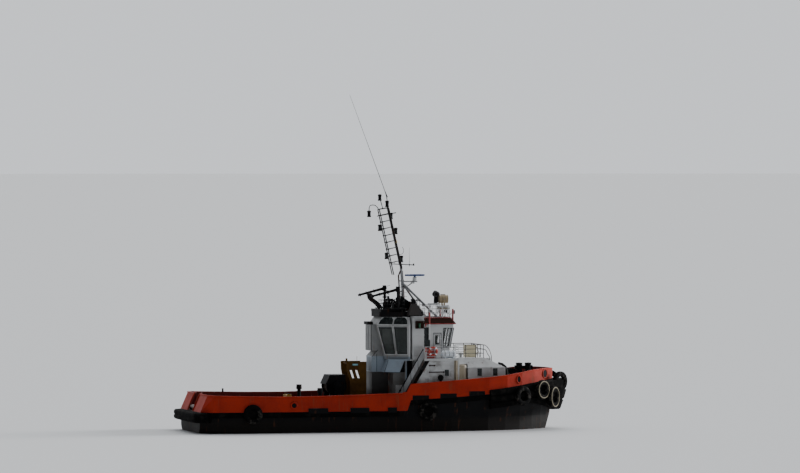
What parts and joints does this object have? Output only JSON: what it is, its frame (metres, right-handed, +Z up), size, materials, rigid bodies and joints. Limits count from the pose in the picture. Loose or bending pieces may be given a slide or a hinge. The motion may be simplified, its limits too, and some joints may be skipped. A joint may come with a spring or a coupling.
{
  "type": "harbour and seagoing tug",
  "caption": "Twin-screw tug with an orange bulwark band, black hull and rubber fenders, white wheelhouse between two funnels, towing winch on a long low aft deck and a folding lattice mast.",
  "frame": {"origin": "on the centreline amidships, at the waterline", "axes": "+X to the bow, +Y to port, +Z up"},
  "size_m": [30.438, 9.729, 29.8814],
  "materials": {
    "hull_paint": "matt black hull paint with rust and salt streaks",
    "bulwark_paint": "orange-red paint, dulled and scuffed",
    "fender_rubber": "worn black rubber and old tyres",
    "underwater_paint": "dull red antifouling",
    "bronze": "cast bronze",
    "white_paint": "semi-matt white paint with rust weeps",
    "grey_paint": "light blue-grey paint",
    "black_paint": "matt black paint",
    "window_glass": "tinted window glass",
    "chair_leather": "black upholstery",
    "mast_paint": "weathered grey-white paint",
    "radar_paint": "blue gloss paint",
    "beige_paint": "beige paint, stained",
    "gelcoat": "white gelcoat",
    "winch_paint": "yellow-brown paint, rusted",
    "yellow_paint": "worn yellow paint",
    "bare_steel": "steel worn bright by rope"
  },
  "bodies": {
    "ship": {"hull": "hull_paint", "bulwark_fore": "bulwark_paint", "bulwark_aft_port": "bulwark_paint", "bulwark_aft_starboard": "bulwark_paint", "fender_bow": "fender_rubber", "fender_side_port": "fender_rubber", "fender_side_starboard": "fender_rubber", "fender_stern": "fender_rubber", "stern_tube_port": "underwater_paint", "stern_tube_starboard": "underwater_paint", "nozzle_port": "underwater_paint", "nozzle_starboard": "underwater_paint", "deckhouse": "white_paint", "deckhouse_fore": "white_paint", "wheelhouse": "white_paint", "wheelhouse_bay": "white_paint", "glass_fore": "window_glass", "glass_aft": "window_glass", "aft_console": "grey_paint", "control_desk_fore": "grey_paint", "control_desk_aft": "grey_paint", "helm_chair_fore": "chair_leather", "helm_chair_aft": "chair_leather", "roof_fore": "black_paint", "roof_aft": "black_paint", "funnel_port": "white_paint", "funnel_starboard": "white_paint", "exhaust_pipes": "black_paint", "monitor_platform": "black_paint", "mast_lower": "mast_paint", "roof_stand": "white_paint", "searchlight": "beige_paint", "boat_deck": "white_paint", "rail_fore_house": "white_paint", "rail_roof": "white_paint", "stairs_port": "grey_paint", "stairs_starboard": "grey_paint", "liferaft_port": "gelcoat", "liferaft_starboard": "gelcoat", "vent_box": "beige_paint", "tow_bitt": "black_paint", "windlass_bed": "black_paint", "winch_bed": "black_paint", "winch_frame": "winch_paint", "tow_pins": "yellow_paint", "roller_brackets": "black_paint"},
    "propeller_port": {"propeller_port": "bronze"},
    "propeller_starboard": {"propeller_starboard": "bronze"},
    "rudder_port": {"rudder_port": "underwater_paint"},
    "rudder_starboard": {"rudder_starboard": "underwater_paint"},
    "towing_drum": {"winch_drum": "black_paint"},
    "anchor_drum": {"windlass_drum": "black_paint"},
    "roller": {"stern_roller": "bare_steel"},
    "upper_mast": {"mast_upper": "mast_paint"},
    "scanner": {"radar_scanner": "radar_paint"},
    "monitor_port": {"fire_monitor_port": "black_paint"},
    "monitor_starboard": {"fire_monitor_starboard": "black_paint"},
    "door_port": {"wheelhouse_door_port": "white_paint"},
    "door_starboard": {"wheelhouse_door_starboard": "white_paint"}
  },
  "joints": [
    {"name": "propeller_spin_port", "type": "hinge", "parent": "ship", "child": "propeller_port", "pos_m": [-9.7, 2.15, -2.25], "axis": [1, 0, 0], "continuous": true},
    {"name": "propeller_spin_starboard", "type": "hinge", "parent": "ship", "child": "propeller_starboard", "pos_m": [-9.7, -2.15, -2.25], "axis": [1, 0, 0], "continuous": true},
    {"name": "rudder_turn_port", "type": "hinge", "parent": "ship", "child": "rudder_port", "pos_m": [-11.3, 2.15, -2.4], "axis": [0, 0, 1], "range_deg": [-35, 35]},
    {"name": "rudder_turn_starboard", "type": "hinge", "parent": "ship", "child": "rudder_starboard", "pos_m": [-11.3, -2.15, -2.4], "axis": [0, 0, 1], "range_deg": [-35, 35]},
    {"name": "towing_drum_turn", "type": "hinge", "parent": "ship", "child": "towing_drum", "pos_m": [-3.25, 0, 3.43], "axis": [0, 1, 0], "continuous": true},
    {"name": "anchor_drum_turn", "type": "hinge", "parent": "ship", "child": "anchor_drum", "pos_m": [10.85, 0, 4.15], "axis": [0, 1, 0], "continuous": true},
    {"name": "roller_turn", "type": "hinge", "parent": "ship", "child": "roller", "pos_m": [-14.28, 0, 1.9], "axis": [0, 1, 0], "continuous": true},
    {"name": "mast_lowering", "type": "hinge", "parent": "ship", "child": "upper_mast", "pos_m": [2.11, 0, 12.55], "axis": [0, -1, 0], "range_deg": [0, 77]},
    {"name": "scanner_turn", "type": "hinge", "parent": "ship", "child": "scanner", "pos_m": [3.2, 0, 11.8], "axis": [0, 0, 1], "continuous": true},
    {"name": "monitor_turn_port", "type": "hinge", "parent": "ship", "child": "monitor_port", "pos_m": [1.33, 2.15, 10.5], "axis": [0, 0, -1], "range_deg": [0, 180]},
    {"name": "monitor_turn_starboard", "type": "hinge", "parent": "ship", "child": "monitor_starboard", "pos_m": [1.33, -2.15, 10.5], "axis": [0, 0, 1], "range_deg": [0, 180]},
    {"name": "door_swing_port", "type": "hinge", "parent": "ship", "child": "door_port", "pos_m": [4.8, 2.232, 6.5], "axis": [0, 0, -1], "range_deg": [0, 95]},
    {"name": "door_swing_starboard", "type": "hinge", "parent": "ship", "child": "door_starboard", "pos_m": [4.8, -2.232, 6.5], "axis": [0, 0, 1], "range_deg": [0, 95]}
  ]
}
